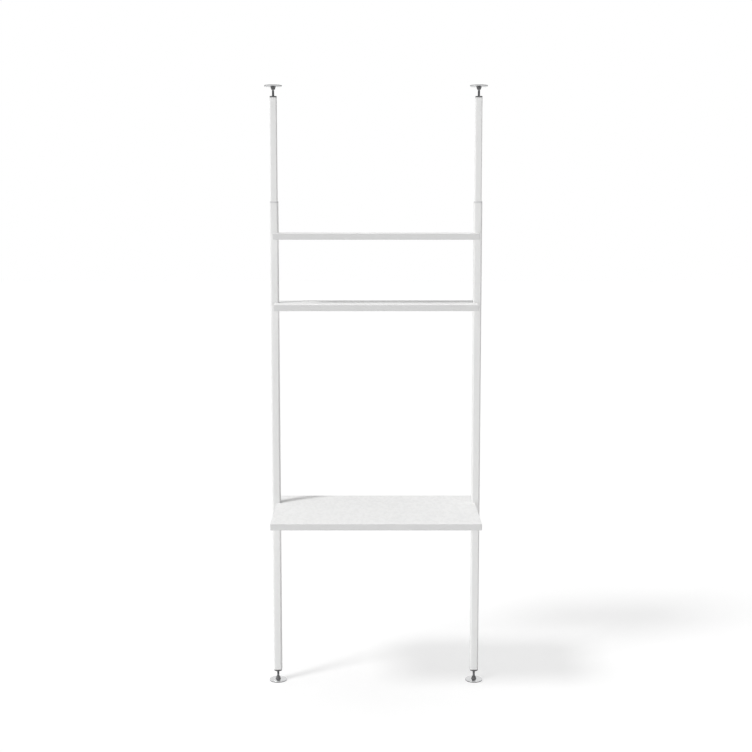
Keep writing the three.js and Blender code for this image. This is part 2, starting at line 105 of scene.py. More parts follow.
# Swivel feet and jacks, measured from the surface that the foot stands on
PAD_GROOVE_RADII = (12 * MM, 20 * MM, 28 * MM)
PAD_GROOVE_DEPTH = 0.5 * MM
PAD_GROOVE_WIDTH = 1.6 * MM
DISC_BORE_RADIUS = 9.8 * MM
DISC_RIM = 2.4 * MM
DISC_EDGE = 0.8 * MM
DISC_RING_RADIUS = 30 * MM
DISC_RING_DEPTH = 0.4 * MM
HUB_RIB_COUNT = 18
HUB_RIB_DEPTH = 0.35 * MM
HUB_LIP = 1.8 * MM
HUB_MOUTH_RADIUS = 5.6 * MM
SOCKET_RADIUS = 7.7 * MM
HUB_SPIGOT_RADIUS = 9.6 * MM
HUB_BASE_RADIUS = 11 * MM
HUB_SHOULDER = 1.6 * MM
HUB_PLAY = 0.2 * MM
HUB_CONE_FOOT = (-0.9 * MM, 0.5 * MM)
HUB_CONE_TOP = (0.3 * MM, -0.9 * MM)
CUP_OUTER_RADIUS = 7.4 * MM
CUP_INNER_RADIUS = 5.8 * MM
BALL_RADIUS = 5.5 * MM
NECK_RADIUS = 3.2 * MM
NECK_LENGTH = 8 * MM
STUD_RADIUS = 5 * MM
STUD_PITCH = 1.5 * MM
STUD_THREAD_DEPTH = 0.9 * MM
STUD_RUN_IN = 0.6 * MM
STUD_CHAMFER = 1.2 * MM
NUT_GRIP_COUNT = 16
NUT_GRIP_DEPTH = 0.8 * MM
NUT_EDGE_ROUND = 0.3
NUT_BORE_RADIUS = 5.3 * MM

# Screws
THREAD_FLANK = 1.3
THREAD_FLAT = 0.15
THREAD_RUN_OUT = 0.15
CLAMP_SCREW_RADIUS = 3 * MM
CLAMP_SCREW_PITCH = 1 * MM
CLAMP_THREAD_DEPTH = 0.55 * MM
CLAMP_TIP_CHAMFER = 0.7 * MM
CLAMP_HEAD_RADIUS = 5.25 * MM
CLAMP_HEAD_HEIGHT = 3.3 * MM
CLAMP_HEAD_ROUND = 0.4
CLAMP_KEY_WIDTH = 4 * MM
CLAMP_KEY_DEPTH = 1.8 * MM
CLAMP_HOLE_RADIUS = 3.3 * MM
CLAMP_HOLE_HALF = 10 * MM
WOOD_SCREW_RADIUS = 2 * MM
WOOD_SCREW_PITCH = 1.8 * MM
WOOD_SCREW_LENGTH = 17 * MM
WOOD_THREAD_DEPTH = 0.7 * MM
WOOD_NECK_SHARE = 0.8
WOOD_RUN_IN = 1 * MM
WOOD_RUN_OUT = 3 * MM
WOOD_TAPER_SHARE = 0.6
WOOD_TAPER_LENGTH = 2 * MM
WOOD_TIP_PLAY = 0.6 * MM
WOOD_HEAD_RADIUS = 3.9 * MM
WOOD_HEAD_DEPTH = 2 * MM
WOOD_HEAD_LAND = 0.15 * MM
WOOD_HOLE_PLAY = 0.3 * MM
WOOD_HOLE_SINK = 0.25 * MM
WOOD_HOLE_LIP = 0.01 * MM
CROSS_SHARE = 0.58
CROSS_DEPTH = 1.9 * MM
CROSS_ROWS = ((0.45, 0.45 * MM, 1.7 * MM), (0.9, 0.7 * MM, 0.25 * MM), (1.0, 0.9 * MM, 0.0))
CROSS_SHARPNESS = 7
WOOD_SCREW_ROW_SHARES = (0.34, 0.76)
SHELF_SCREW_SHARES = (0.12, 0.88)
DESK_SCREW_SHARES = (0.08, 0.42, 0.9)

# Brackets and boards
SHELF_BRACKET_STEEL = 2.5 * MM
SHELF_TAB_HALF = 15 * MM
SHELF_TAB_CORNER = 2 * MM
SHELF_TAB_STEP = 0.02 * MM
DESK_BRACKET_STEEL = 3 * MM
DESK_WEB_TIP = 12 * MM
BEND_RADIUS = 2 * MM
BRACKET_EDGE = 0.4 * MM
BRACKET_CORNER = 6 * MM
BOARD_CORNER = 3 * MM
BAND_THICKNESS = 1 * MM
BAND_EDGE = 0.7 * MM
PANEL_EDGE = 0.15 * MM
NOTCH_GAP = 0.8 * MM
POCKET_GAP = 0.5 * MM
POCKET_ROOM = 0.2 * MM
TAB_POCKET_CORNER = 1.5 * MM
TAB_POCKET_TOP = 21 * MM
HEAD_ROOM = 4 * MM


# Outlines

def rounded(corners, steps=ARC_STEPS):
    """A closed outline through corners given as (x, y, radius), each turned into an arc."""
    points = []
    count = len(corners)
    for index, (x, y, radius) in enumerate(corners):
        corner = Vector((x, y))
        before = Vector(corners[index - 1][:2]) - corner
        after = Vector(corners[(index + 1) % count][:2]) - corner
        turn = math.pi - before.angle(after, math.pi)
        wanted = radius * math.tan(min(turn, math.radians(120)) / 2)
        reach = min(wanted, before.length / 2, after.length / 2)
        weight = math.cos(turn / 2)
        start = corner + before.normalized() * reach
        end = corner + after.normalized() * reach
        for step in range(steps + 1):
            share = step / steps
            parts = ((1 - share) ** 2, 2 * weight * share * (1 - share), share**2)
            points.append((start * parts[0] + corner * parts[1] + end * parts[2]) / sum(parts))
    return points


def lifted(outline, height):
    """The flat outline as a loop of points at a height."""
    return [Vector((point.x, point.y, height)) for point in outline]


def upright(box, edge, outline_at):
    """Loops up a box, of an outline that is drawn in by an edge at both ends."""
    low, high = box
    rows = ((low.z, edge), (low.z + edge, 0), (high.z - edge, 0), (high.z, edge))
    return [lifted(outline_at(inset), height) for height, inset in rows]


def turned(reach_at, height, count):
    """A loop round Z whose reach depends on the angle."""
    loop = []
    for index in range(count):
        angle = 2 * math.pi * index / count
        reach = reach_at(angle)
        loop.append(Vector((reach * math.cos(angle), reach * math.sin(angle), height)))
    return loop


def rectangle(low, high, corner, height, steps=ARC_STEPS):
    """A loop round the rectangle between two points, with its corners rounded."""
    corners = (high, (low[0], high[1]), low, (high[0], low[1]))
    return lifted(rounded([(*place, corner) for place in corners], steps), height)


def circle(radius, height, count, ripple=0.0, waves=0):
    """A loop round Z, drawn in by a ripple between its waves."""
    return turned(lambda angle: radius - ripple * (1 - math.cos(waves * angle)) / 2, height, count)


def circles(profile, count):
    """Loops round Z from pairs of radius and height."""
    return [circle(radius, height, count) for radius, height in profile]


def arc(x, y, radius, low, high, steps=BALL_STEPS):
    """Points of an arc round a point, between two angles in degrees."""
    points = []
    for step in range(steps + 1):
        angle = math.radians(low + (high - low) * step / steps)
        points.append((x + radius * math.cos(angle), y + radius * math.sin(angle)))
    return points


def thread(radius, depth, pitch, low, high, count=ROD_COUNT):
    """Loops of a right-hand thread between two heights, running out at both ends."""
    rows = max(1, round((high - low) / pitch * THREAD_STEPS))
    loops = []
    for row in range(rows + 1):
        height = low + (high - low) * row / rows
        fade = min(1.0, min(height - low, high - height) / pitch + THREAD_RUN_OUT)

        def reach_at(angle):
            flank = abs(2 * ((height / pitch - angle / (2 * math.pi)) % 1.0) - 1)
            groove = min(max(THREAD_FLANK * flank - THREAD_FLAT, 0.0), 1.0)
            return radius - depth * fade * groove

        loops.append(turned(reach_at, height, count))
    return loops


# Meshes

def added(name, data):
    """A new object in the scene."""
    item = bpy.data.objects.new(name, data)
    bpy.context.scene.collection.objects.link(item)
    return item


def skin(name, loops, ring=False):
    """A closed surface over loops of as many points. In a ring the last loop joins the first."""
    mesh = bmesh.new()
    rows = [[mesh.verts.new(point) for point in loop] for loop in loops]
    pairs = list(zip(rows, rows[1:]))
    if ring:
        pairs.append((rows[-1], rows[0]))
    for low, high in pairs:
        for index in range(len(low)):
            following = (index + 1) % len(low)
            mesh.faces.new((low[index], low[following], high[following], high[index]))
    if not ring:
        mesh.faces.new(rows[0][::-1])
        mesh.faces.new(rows[-1])
    bmesh.ops.remove_doubles(mesh, verts=mesh.verts, dist=MERGE_DISTANCE)
    bmesh.ops.dissolve_degenerate(mesh, edges=mesh.edges, dist=MERGE_DISTANCE / 2)
    bmesh.ops.recalc_face_normals(mesh, faces=mesh.faces)
    data = bpy.data.meshes.new(name)
    mesh.to_mesh(data)
    mesh.free()
    return added(name, data)


def drilled(profile, material):
    """The room of a hole turned round Z, coated as its walls."""
    return coated(skin("hole", circles(profile, ROD_COUNT)), material)


def baked(piece):
    """Replaces the piece's mesh by what its modifiers make of it."""
    graph = bpy.context.evaluated_depsgraph_get()
    data = bpy.data.meshes.new_from_object(piece.evaluated_get(graph))
    piece.modifiers.clear()
    piece.data = data
    return piece


def combine(piece, operation, tools):
    """Joins tools to the piece or cuts them out of it, and deletes them."""
    for tool in tools:
        change = piece.modifiers.new("combine", "BOOLEAN")
        change.operation = operation
        change.solver = "EXACT"
        change.material_mode = "TRANSFER"
        change.object = tool
    baked(piece)
    for tool in tools:
        bpy.data.objects.remove(tool)
    return piece


def at(x, y, z, degrees=0, axis="Z"):
    """The matrix of a turn round an axis and then a move."""
    return Matrix.Translation((x, y, z)) @ Matrix.Rotation(math.radians(degrees), 4, axis)


def moved(piece, matrix):
    """Moves the piece's mesh, and turns its faces back where the matrix mirrors them."""
    piece.data.transform(matrix)
    if matrix.determinant() < 0:
        piece.data.flip_normals()
    return piece


def shaded(piece):
    """Smooth round faces, with flat faces kept flat up to their rounded edges."""
    piece.data.shade_smooth()
    piece.data.set_sharp_from_angle(angle=SMOOTH_ANGLE)
    weighted = piece.modifiers.new("flat faces", "WEIGHTED_NORMAL")
    weighted.keep_sharp = True
    return baked(piece)


def coated(piece, *materials):
    for material in materials:
        piece.data.materials.append(material)
    return piece


def add_to(piece, body):
    """Puts a finished piece on a body."""
    shaded(piece)
    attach(piece, body)
    RIDERS.setdefault(body, []).append(piece)


def stand_for(piece, node):
    """Puts a finished piece in a CAD node's place, on the same body, and hides the node."""
    add_to(piece, BODY_OF[node])
    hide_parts(node)


def middle(node):
    low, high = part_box(node)
    return (low + high) / 2


def dress(node, name, loops, material, matrix, ring=False):
    """Skins loops and puts the coated piece in a CAD node's place."""
    stand_for(moved(coated(skin(name, loops, ring), material), matrix), node)


def pole_x(side):
    return middle(side + "_lower_pole").x


def half_depth(node):
    """Half of a node's reach along Y, which is the radius of a round one."""
    low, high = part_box(node)
    return (high.y - low.y) / 2


# Materials

NOISE_MIDDLE = (0.3, 0.7)
DUST_HEIGHTS = (0.02, 0.16)
FLAKES_PER_METRE = 420.0


class NodeTree:
    """A node tree, added to step by step."""

    def __init__(self, owner):
        owner.use_nodes = True
        self.tree = owner.node_tree

    def feed(self, node, values):
        """Gives a node's inputs their values. An input that is given a socket is linked to it."""
        for key, value in values.items():
            if isinstance(value, bpy.types.NodeSocket):
                self.tree.links.new(value, node.inputs[key])
            else:
                node.inputs[key].default_value = value
        return node

    def node(self, kind, values=None, **settings):
        """A new node with its settings and inputs."""
        node = self.tree.nodes.new("ShaderNode" + kind)
        for key, value in settings.items():
            setattr(node, key, value)
        return self.feed(node, values or {})

    def range(self, source, low, high, to_low=0.0, to_high=1.0):
        values = {0: source, 1: low, 2: high, 3: to_low, 4: to_high}
        return self.node("MapRange", values).outputs[0]

    def math(self, operation, first, second):
        return self.node("Math", {0: first, 1: second}, operation=operation).outputs[0]

    def mixed(self, factor, first, second):
        """Two shaders mixed, the second where the factor is high."""
        return self.node("MixShader", {0: factor, 1: first, 2: second}).outputs[0]


class Finish(NodeTree):
    """The nodes of one material of the object."""

    def __init__(self, name, colour, roughness, metallic=0.0):
        self.material = bpy.data.materials.new(name)
        super().__init__(self.material)
        self.shader = self.tree.nodes["Principled BSDF"]
        self.colour = (*colour, 1)
        self.surface({"Base Color": self.colour, "Roughness": roughness, "Metallic": metallic})
        self.place = self.node("TexCoord").outputs["Object"]

    def surface(self, values):
        """Feeds the surface's shader."""
        self.feed(self.shader, values)

    def noise(self, size, detail=2.0, stretch=(1, 1, 1), roughness=0.5):
        """Noise with grains of a size in metres, drawn out along the axes by the stretch."""
        scale = [1 / (size * factor) for factor in stretch]
        place = self.node("Mapping", {"Vector": self.place, "Scale": scale}).outputs[0]
        values = {"Vector": place, "Scale": 1.0, "Detail": detail, "Roughness": roughness}
        return self.node("TexNoise", values).outputs["Fac"]

    def axis(self, name):
        return self.node("SeparateXYZ", {0: self.place}).outputs[name]

    def tint(self, factor, colour):
        """Mixes a colour into the surface where the factor is high."""
        links = self.shader.inputs["Base Color"].links
        before = links[0].from_socket if links else self.colour
        mix = self.node("Mix", {0: factor, 6: before, 7: (*colour, 1)}, data_type="RGBA")
        self.surface({"Base Color": mix.outputs[2]})

    def patches(self, source, low, high, share, colour):
        """Mixes a colour in, up to a share, where the source rises from low to high."""
        self.tint(self.range(source, low, high, 0.0, share), colour)

    def gloss(self, source, low, high):
        """Lets roughness vary between two values with a noise, whose middle range counts."""
        self.surface({"Roughness": self.range(source, *NOISE_MIDDLE, low, high)})

    def bump(self, source, depth):
        """Adds relief of a depth in metres on top of what is there."""
        values = {"Height": source, "Distance": depth, "Strength": 1.0}
        links = self.shader.inputs["Normal"].links
        if links:
            values["Normal"] = links[0].from_socket
        self.surface({"Normal": self.node("Bump", values).outputs[0]})


def powder_coat(name, colour):
    """Satin powder coat: a fine orange peel, faint rub marks up the pole and some dust low down."""
    finish = Finish(name, colour, 0.42)
    peel = finish.noise(1.3 * MM, detail=3)
    rubbed = finish.noise(9 * MM, detail=4, stretch=(1, 1, 14))
    cloudy = finish.noise(160 * MM)
    finish.patches(cloudy, 0.35, 0.75, 0.05, (0.80, 0.81, 0.83))
    finish.patches(rubbed, 0.62, 0.80, 0.10, (0.70, 0.69, 0.67))
    dust = finish.range(finish.axis("Z"), *DUST_HEIGHTS, 1.0, 0.0)
    speck = finish.range(finish.noise(3 * MM, detail=5), 0.55, 0.75)
    dusty = finish.math("MULTIPLY", dust, speck)
    finish.tint(finish.math("MULTIPLY", dusty, 0.22), (0.46, 0.44, 0.41))
    finish.gloss(rubbed, 0.36, 0.50)
    finish.bump(peel, 0.035 * MM)
    return finish.material


def board_foil():
    """White foil pressed on chipboard: faintly mottled, with an embossed grain and soft wear."""
    finish = Finish("white_board_foil", (0.895, 0.895, 0.89), 0.5)
    finish.surface({"Specular IOR Level": 0.15})
    grain = finish.noise(1.6 * MM, detail=5, stretch=(28, 1, 1), roughness=0.65)
    pores = finish.noise(0.7 * MM, stretch=(16, 1, 1))
    mottle = finish.noise(14 * MM, detail=4, stretch=(1, 2.4, 1), roughness=0.65)
    cloudy = finish.noise(220 * MM, detail=3, stretch=(2, 1, 1))
    finish.patches(grain, 0.45, 0.75, 0.10, (0.74, 0.735, 0.72))
    finish.patches(mottle, 0.42, 0.60, 0.45, (0.78, 0.78, 0.775))
    finish.patches(cloudy, 0.35, 0.7, 0.04, (0.82, 0.84, 0.87))
    scuff = finish.noise(5 * MM, detail=6, stretch=(5, 1, 1), roughness=0.7)
    finish.patches(scuff, 0.68, 0.85, 0.12, (0.62, 0.61, 0.60))
    finish.gloss(cloudy, 0.42, 0.56)
    finish.bump(grain, 0.05 * MM)
    finish.bump(pores, 0.012 * MM)
    return finish.material


def chipboard():
    """Raw chipboard inside holes and pockets: pressed flakes of light wood."""
    finish = Finish("raw_chipboard", (0.55, 0.41, 0.26), 0.85)
    values = {"Vector": finish.place, "Scale": FLAKES_PER_METRE}
    flakes = finish.node("TexVoronoi", values).outputs["Distance"]
    fine = finish.noise(1.1 * MM, detail=4)
    finish.patches(flakes, 0.1, 0.6, 0.7, (0.72, 0.58, 0.40))
    finish.patches(fine, 0.5, 0.7, 0.6, (0.34, 0.24, 0.14))
    finish.gloss(fine, 0.8, 0.95)
    finish.bump(flakes, 0.25 * MM)
    return finish.material


def edge_band():
    """Plastic band glued on the board's edges: glossier than the foil, with a pebbled face."""
    finish = Finish("white_edge_band", (0.73, 0.73, 0.727), 0.42)
    pebble = finish.noise(0.8 * MM)
    cloudy = finish.noise(70 * MM, detail=3, stretch=(2, 2, 1))
    finish.patches(cloudy, 0.35, 0.7, 0.10, (0.62, 0.63, 0.65))
    rubbed = finish.noise(4 * MM, detail=5, stretch=(6, 6, 1), roughness=0.7)
    finish.patches(rubbed, 0.58, 0.78, 0.20, (0.55, 0.54, 0.53))
    finish.gloss(cloudy, 0.36, 0.48)
    finish.bump(pebble, 0.02 * MM)
    return finish.material


def moulded(name, colour, dust_colour, roughness=0.5, dust_share=0.1):
    """Moulded plastic: eroded mould texture, flow marks and dust in patches."""
    finish = Finish(name, colour, roughness)
    texture = finish.noise(0.5 * MM)
    flow = finish.noise(14 * MM, detail=3)
    patches = finish.noise(4 * MM, detail=5, roughness=0.65)
    finish.patches(flow, 0.35, 0.7, dust_share, dust_colour)
    finish.patches(patches, 0.6, 0.78, dust_share * 2, dust_colour)
    finish.gloss(flow, roughness - 0.08, roughness + 0.08)
    finish.bump(texture, 0.03 * MM)
    return finish.material


def zinc(name, colour, dull_colour):
    """Zinc plate: crystalline patches, fine tool marks and dull spots."""
    finish = Finish(name, colour, 0.32, metallic=1.0)
    patches = finish.noise(2.2 * MM, detail=4)
    marks = finish.noise(0.35 * MM, stretch=(1, 1, 0.4))
    finish.patches(patches, 0.4, 0.7, 0.5, dull_colour)
    finish.patches(marks, 0.6, 0.8, 0.3, (0.20, 0.20, 0.20))
    finish.gloss(patches, 0.25, 0.45)
    finish.bump(marks, 0.012 * MM)
    return finish.material


def polished_steel():
    """Nickel-plated foot disc: turning marks round its middle, wiping marks and dull specks."""
    finish = Finish("polished_steel", (0.68, 0.685, 0.69), 0.18, metallic=1.0)
    across = finish.math("SUBTRACT", finish.math("ABSOLUTE", finish.axis("X"), 0.0), POLE_CENTRE)
    flat = finish.node("CombineXYZ", {"X": across, "Y": finish.axis("Y")}).outputs[0]
    radius = finish.node("VectorMath", {0: flat}, operation="LENGTH").outputs["Value"]
    values = {"W": radius, "Scale": 1 / (0.8 * MM), "Detail": 3.0}
    turning = finish.node("TexNoise", values, noise_dimensions="1D")
    wiped = finish.noise(11 * MM, detail=4)
    specks = finish.noise(1.4 * MM, detail=3)
    finish.patches(wiped, 0.35, 0.7, 0.25, (0.58, 0.58, 0.585))
    finish.patches(specks, 0.66, 0.80, 0.5, (0.36, 0.35, 0.34))
    finish.gloss(wiped, 0.17, 0.32)
    finish.bump(turning.outputs["Fac"], 0.004 * MM)
    return finish.material


def rubber():
    """Matt foot rubber with a pebbled face and greyish bloom."""
    finish = Finish("foot_rubber", (0.09, 0.09, 0.095), 0.85)
    pebble = finish.noise(0.6 * MM, detail=3)
    bloom = finish.noise(6 * MM, detail=5, roughness=0.6)
    finish.patches(bloom, 0.45, 0.75, 0.35, (0.16, 0.155, 0.15))
    finish.gloss(bloom, 0.78, 0.92)
    finish.bump(pebble, 0.06 * MM)
    return finish.material


pole_coat = powder_coat("white_pole_coat", (0.84, 0.84, 0.835))
bracket_coat = powder_coat("white_bracket_coat", (0.82, 0.82, 0.815))
foil = board_foil()
raw_board = chipboard()
band_plastic = edge_band()
collar_plastic = moulded("grey_collar_plastic", (0.66, 0.66, 0.665), (0.58, 0.58, 0.58))
foot_steel = polished_steel()
dark_plastic = moulded("dark_plastic", (0.12, 0.12, 0.125), (0.25, 0.245, 0.24), dust_share=0.16)
nylon = moulded("natural_nylon", (0.76, 0.74, 0.67), (0.70, 0.66, 0.58), roughness=0.42)
zinc_plate = zinc("bright_zinc_plate", (0.60, 0.61, 0.63), (0.50, 0.49, 0.46))
dark_zinc = zinc("dark_zinc_plate", (0.27, 0.275, 0.285), (0.20, 0.195, 0.19))
foot_rubber = rubber()


# Poles

def channel(half, inset):
    """Section of the lower pole, open at its slot on +X, drawn in by an inset."""
    outer = half - inset
    inner = half - LOWER_WALL + inset
    lip = SLOT_WIDTH / 2 + inset
    inside = LOWER_CORNER - LOWER_WALL + inset
    bend = LOWER_CORNER - inset
    return rounded([
        (outer, lip, SLOT_LIP), (outer, outer, bend), (-outer, outer, bend),
        (-outer, -outer, bend), (outer, -outer, bend), (outer, -lip, SLOT_LIP),
        (inner, -lip, CUT_EDGE), (inner, -inner, inside), (-inner, -inner, inside),
        (-inner, inner, inside), (inner, inner, inside), (inner, lip, CUT_EDGE),
    ])


def grooved(half, inset):
    """Section of the upper pole, with a groove in its +X side, drawn in by an inset."""
    outer = half - inset
    floor = outer - GROOVE_DEPTH
    lip = GROOVE_WIDTH / 2 + inset
    bend = UPPER_CORNER - inset
    return rounded([
        (outer, lip, SLOT_LIP), (outer, outer, bend), (-outer, outer, bend),
        (-outer, -outer, bend), (outer, -outer, bend), (outer, -lip, SLOT_LIP),
        (floor, -lip, SLOT_LIP), (floor, lip, SLOT_LIP),
    ])


def inward(side):
    """The matrix from a pole's own axes, with +X towards the middle of the unit, to the scene's."""
    return at(pole_x(side), 0, 0, 0 if side == "left" else 180)


def make_lower_pole(side):
    node = side + "_lower_pole"
    half = half_depth(node)
    loops = upright(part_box(node), CUT_EDGE, lambda inset: channel(half, inset))
    pole = coated(skin(side + "_lower_profile", loops), pole_coat)
    screw = middle(side + "_lock_screw")
    profile = [(0, 0), (LOCK_HOLE_RADIUS, 0), (LOCK_HOLE_RADIUS, half), (0, half)]
    hole = drilled(profile, pole_coat)
    moved(hole, at(screw.x, half / 2, screw.z, -90, "X"))
    combine(moved(pole, inward(side)), "DIFFERENCE", [hole])
    stand_for(pole, node)


def make_upper_pole(side):
    node = side + "_upper_pole"
    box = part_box(node)
    half = half_depth(node)
    loops = upright(box, CUT_EDGE, lambda inset: grooved(half, inset))
    loops += upright(box, CUT_EDGE, lambda inset: grooved(half, UPPER_WALL + inset))[::-1]
    dress(node, side + "_upper_profile", loops, pole_coat, inward(side), ring=True)


def make_collar(side):
    """The ring on the lower pole's end, with a tongue in the slot."""
    node = side + "_pole_collar"
    low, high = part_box(node)
    half = half_depth(node)
    base = high.z - COLLAR_HEIGHT
    bore = half_depth(side + "_upper_pole") + COLLAR_PLAY
    bore_corner = UPPER_CORNER + COLLAR_PLAY
    bend = LOWER_CORNER
    chamfer = COLLAR_CHAMFER
    edge = CUT_EDGE
    rows = [
        (half - edge, bend - edge, base), (half, bend, base + edge),
        (half, bend, high.z - chamfer - edge),
        (half - edge / 2, bend - edge / 2, high.z - chamfer + edge / 2),
        (half - chamfer + edge / 2, bend - chamfer, high.z - edge / 2),
        (half - chamfer - edge, bend - chamfer, high.z), (bore + edge, bore_corner + edge, high.z),
        (bore, bore_corner, high.z - edge), (bore, bore_corner, base),
    ]
    loops = [
        rectangle((-reach, -reach), (reach, reach), corner, height, CORNER_STEPS)
        for reach, corner, height in rows
    ]
    collar = coated(skin(side + "_shoulder_collar", loops, ring=True), collar_plastic)
    inner = half - LOWER_WALL
    outer = half - COLLAR_PLAY
    wide = SLOT_WIDTH / 2 - COLLAR_PLAY
    outline = rounded([
        (inner, wide, edge), (inner, -wide, edge), (outer, -wide, edge), (outer, wide, edge),
    ])
    tongue = skin("tongue", [lifted(outline, low.z), lifted(outline, base + COLLAR_HEIGHT / 2)])
    combine(collar, "UNION", [coated(tongue, collar_plastic)])
    stand_for(moved(collar, inward(side)), node)


def make_end_plug(side, level):
    """The plug in a pole's outer end: a flange and a body inside, bored for the stud."""
    node = f"{side}_{level}_end_plug"
    low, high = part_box(node)
    half = half_depth(f"{side}_{level}_pole")
    if level == "lower":
        wall, corner, depth = LOWER_WALL, LOWER_CORNER, 0
        place = at(0, 0, low.z)
    else:
        wall, corner, depth = UPPER_WALL, UPPER_CORNER, GROOVE_DEPTH
        place = at(0, 0, high.z) @ Matrix.Scale(-1, 4, (0, 0, 1))
    length = high.z - low.z
    inside = half - wall - PLUG_PLAY
    right = inside - depth
    bend = corner - wall
    edge = CUT_EDGE
    rows = [
        (half - edge, half - edge, corner - edge, 0), (half, half, corner, edge),
        (half, half, corner, PLUG_FLANGE), (inside, right, bend, PLUG_FLANGE),
        (inside, right, bend, length - 3 * edge),
        (inside - 2 * edge, right - 2 * edge, bend, length),
    ]
    loops = [
        rectangle((-reach, -reach), (side_reach, reach), corner, height, CORNER_STEPS)
        for reach, side_reach, corner, height in rows
    ]
    bore = PLUG_BORE_RADIUS
    for radius, height in ((bore, length), (bore, edge), (bore + edge, 0)):
        loops.append([Vector((*(point.xy.normalized() * radius), height)) for point in loops[0]])
    dress(node, f"{side}_{level}_plug", loops, dark_plastic, inward(side) @ place, ring=True)


# Swivel feet and jacks, built standing on the floor and turned over for the ceiling

def footing(foot):
    """The place of a foot, at its pad's outer face, with +Z towards the pole."""
    low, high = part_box(foot + "_foot_pad")
    x = (low.x + high.x) / 2
    if "floor" in foot:
        return at(x, 0, low.z)
    return at(x, 0, high.z, 180, "X")


def heights(node):
    """A node's span measured from the surface that its foot stands on."""
    low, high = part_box(node)
    if "floor" in node:
        return low.z, high.z
    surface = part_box(node.split("_")[0] + "_ceiling_foot_pad")[1].z
    return surface - high.z, surface - low.z


def ball_height(foot):
    """Height of the ball's centre: the stud's node starts one ball radius below it."""
    return heights(foot + "_ball_stud")[0] + BALL_RADIUS


def make_pad(foot, place):
    """The foot's rubber pad, with ring grooves in its outer face."""
    node = foot + "_foot_pad"
    low, high = heights(node)
    radius = half_depth(node)
    half = PAD_GROOVE_WIDTH / 2
    profile = [(0, low)]
    for ring in PAD_GROOVE_RADII:
        profile += [
            (ring - half, low), (ring - half / 2, low + PAD_GROOVE_DEPTH),
            (ring + half / 2, low + PAD_GROOVE_DEPTH), (ring + half, low),
        ]
    edge = BROAD_EASE
    profile += [
        (radius - edge, low), (radius - edge / 4, low + edge / 4), (radius, low + edge),
        (radius, high - edge), (radius - edge / 4, high - edge / 4), (radius - edge, high),
        (0, high),
    ]
    dress(node, foot + "_rubber_pad", circles(profile, WIDE_COUNT), foot_rubber, place)


def make_disc(foot, place):
    """The foot's disc: a rounded rim, a shallow ring groove and a slight rise to the hub."""
    node = foot + "_foot_disc"
    low, high = heights(node)
    radius = half_depth(node)
    rim = low + DISC_RIM
    edge = DISC_EDGE
    ring = DISC_RING_RADIUS
    groove = DISC_RING_DEPTH
    slope = (high - rim) / (radius - edge - HUB_BASE_RADIUS)

    def top(reach):
        return rim + slope * (radius - edge - reach)

    profile = [(DISC_BORE_RADIUS, low), (radius - LIGHT_EASE, low), (radius, low + LIGHT_EASE)]
    profile += arc(radius - edge, rim - edge, edge, 0, 90, BEND_STEPS)
    profile += [
        (ring + 2 * groove, top(ring + 2 * groove)), (ring + groove, top(ring) - groove),
        (ring - groove, top(ring) - groove), (ring - 2 * groove, top(ring - 2 * groove)),
        (HUB_BASE_RADIUS, high), (DISC_BORE_RADIUS, high),
    ]
    loops = circles(profile, WIDE_COUNT)
    dress(node, foot + "_steel_disc", loops, foot_steel, place, ring=True)


def make_hub(foot, place):
    """The hub that clips into the disc and holds the ball cup, ribbed round its cone."""
    node = foot + "_foot_hub"
    low, high = heights(node)
    seat = heights(foot + "_foot_disc")[1] + HUB_PLAY
    shoulder = seat + HUB_SHOULDER
    spigot = HUB_SPIGOT_RADIUS
    base = HUB_BASE_RADIUS
    lip = HUB_MOUTH_RADIUS + HUB_LIP
    cone_foot = (base + HUB_CONE_FOOT[0], shoulder + HUB_CONE_FOOT[1])
    cone_top = (lip + HUB_CONE_TOP[0], high + HUB_CONE_TOP[1])
    mouth = math.degrees(math.acos(HUB_MOUTH_RADIUS / SOCKET_RADIUS))
    count = HUB_RIB_COUNT * HUB_RIB_STEPS
    loops = circles([
        (0, low), (spigot - EASE, low), (spigot, low + EASE), (spigot, seat),
        (base - FINE_EASE, seat), (base, seat + FINE_EASE), (base, shoulder - EASE),
        (base - LIGHT_EASE, shoulder),
    ], count)
    for row in range(HUB_RIB_ROWS + 1):
        share = row / HUB_RIB_ROWS
        radius, height = (a + (b - a) * share for a, b in zip(cone_foot, cone_top))
        ripple = HUB_RIB_DEPTH * math.sin(math.pi * share)
        loops.append(circle(radius, height, count, ripple, HUB_RIB_COUNT))
    rim = [
        (lip, high - BROAD_EASE), (lip - BROAD_EASE, high), (HUB_MOUTH_RADIUS + LIGHT_EASE, high),
    ]
    loops += circles(rim + arc(0, ball_height(foot), SOCKET_RADIUS, mouth, -90), count)
    dress(node, foot + "_ribbed_hub", loops, dark_plastic, place)


def make_cup(foot, place):
    """The nylon cup round the stud's ball."""
    node = foot + "_ball_cup"
    ball = ball_height(foot)
    top = heights(node)[1] - ball
    outer_end, inner_end = (
        math.degrees(math.asin(top / radius)) for radius in (CUP_OUTER_RADIUS, CUP_INNER_RADIUS)
    )
    profile = arc(0, ball, CUP_OUTER_RADIUS, -90, outer_end)
    profile += arc(0, ball, CUP_INNER_RADIUS, inner_end, -90)
    dress(node, foot + "_nylon_cup", circles(profile, SMALL_COUNT), nylon, place)


